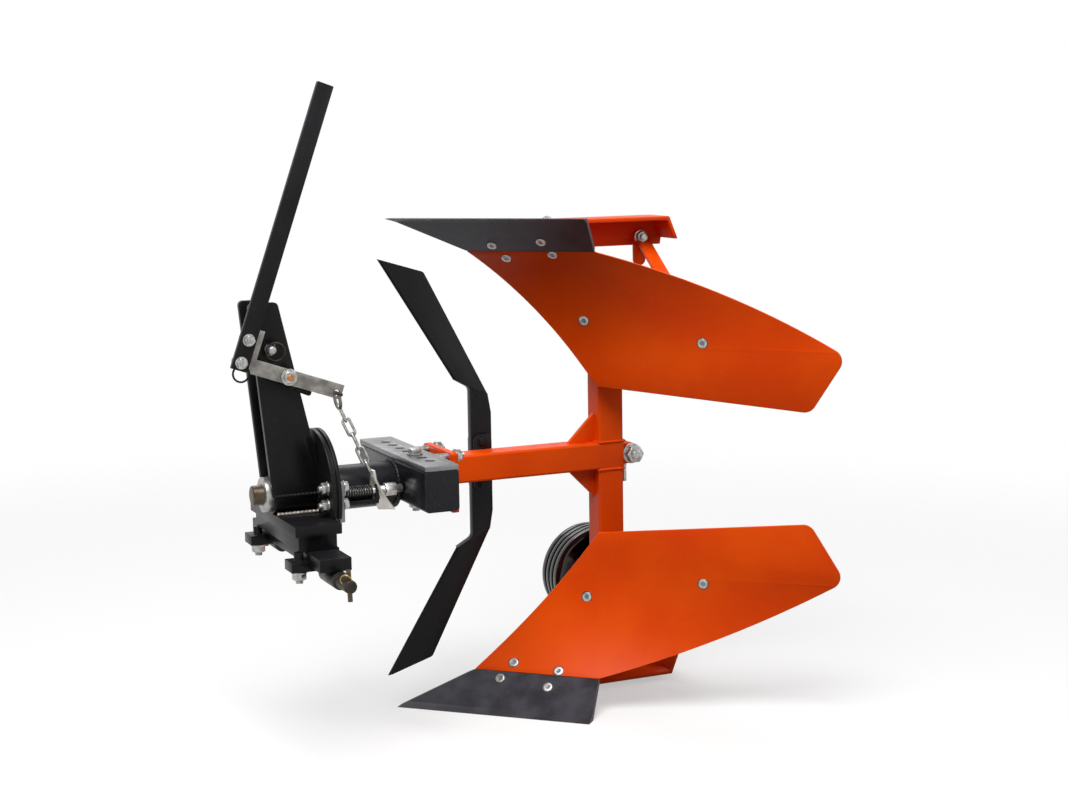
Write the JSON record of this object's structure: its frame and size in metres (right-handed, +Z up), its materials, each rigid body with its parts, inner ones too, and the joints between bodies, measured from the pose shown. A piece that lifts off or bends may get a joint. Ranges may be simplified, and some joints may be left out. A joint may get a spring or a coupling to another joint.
{
  "type": "turn-over moldboard plough",
  "caption": "Mounted one-furrow turn-over plough: mirrored moldboard bodies on a leg that swings about a headstock shaft, with knives, depth wheel, lock lever and chain.",
  "frame": {"origin": "midpoint between the two lower link pins", "axes": "+X rearward along the turn-over axis, +Y to the machine's right, +Z up"},
  "size_m": [1.025, 0.5488, 1.1286],
  "materials": {
    "orange_paint": "gloss",
    "black_paint": "satin",
    "grey_paint": "satin",
    "share_steel": "satin",
    "zinc": "zinc plated",
    "bare_steel": "oiled steel",
    "wheel_plastic": "gloss"
  },
  "bodies": {
    "headstock": {"mast_plate_left": "black_paint", "mast_plate_right": "black_paint", "pivot_housing": "black_paint", "index_disc": "black_paint", "base_plate": "black_paint", "hitch_crossbar": "black_paint", "lower_link_pin_left": "bare_steel", "lower_link_pin_right": "bare_steel", "crossbar_clamps": "black_paint", "lock_plate": "black_paint", "lock_bracket": "black_paint", "lock_rod": "zinc", "lock_spring": "zinc", "pull_strip": "zinc", "bell_crank": "zinc", "hand_lever": "black_paint", "lever_pivot": "zinc", "lock_chain": "zinc"},
    "plough_frame": {"beam": "orange_paint", "beam_flange": "orange_paint", "clamp_block": "grey_paint", "cross_top_plate": "grey_paint", "cross_tube": "grey_paint", "cross_tube_caps": "grey_paint", "frog_lower": "orange_paint", "frog_upper": "orange_paint", "gussets": "orange_paint", "knife_clamp": "black_paint", "knife_lower": "black_paint", "knife_pad": "black_paint", "knife_upper": "black_paint", "landside_lower": "orange_paint", "landside_upper": "orange_paint", "leg": "orange_paint", "moldboard_lower": "orange_paint", "moldboard_upper": "orange_paint", "share_lower": "share_steel", "share_upper": "share_steel", "stop_screw": "zinc", "strut_lower": "orange_paint", "strut_upper": "orange_paint", "torque_tube": "grey_paint", "turning_shaft": "bare_steel", "wheel_lug": "orange_paint", "wheel_pin": "zinc"},
    "wheel_arm": {"wheel_arm": "orange_paint", "wheel_axle": "bare_steel"},
    "depth_wheel": {"depth_wheel": "wheel_plastic"}
  },
  "joints": [
    {"name": "turn_over", "type": "hinge", "parent": "headstock", "child": "plough_frame", "pos_m": [0, 0, 0.1143], "axis": [-1, 0, 0], "range_deg": [0, 180]},
    {"name": "wheel_arm_swing", "type": "hinge", "parent": "plough_frame", "child": "wheel_arm", "pos_m": [0.655, 0.142, 0.1143], "axis": [0, -1, 0], "range_deg": [0, 180]},
    {"name": "wheel_spin", "type": "hinge", "parent": "wheel_arm", "child": "depth_wheel", "pos_m": [0.655, 0.227, -0.1477], "axis": [0, 1, 0], "continuous": true}
  ]
}
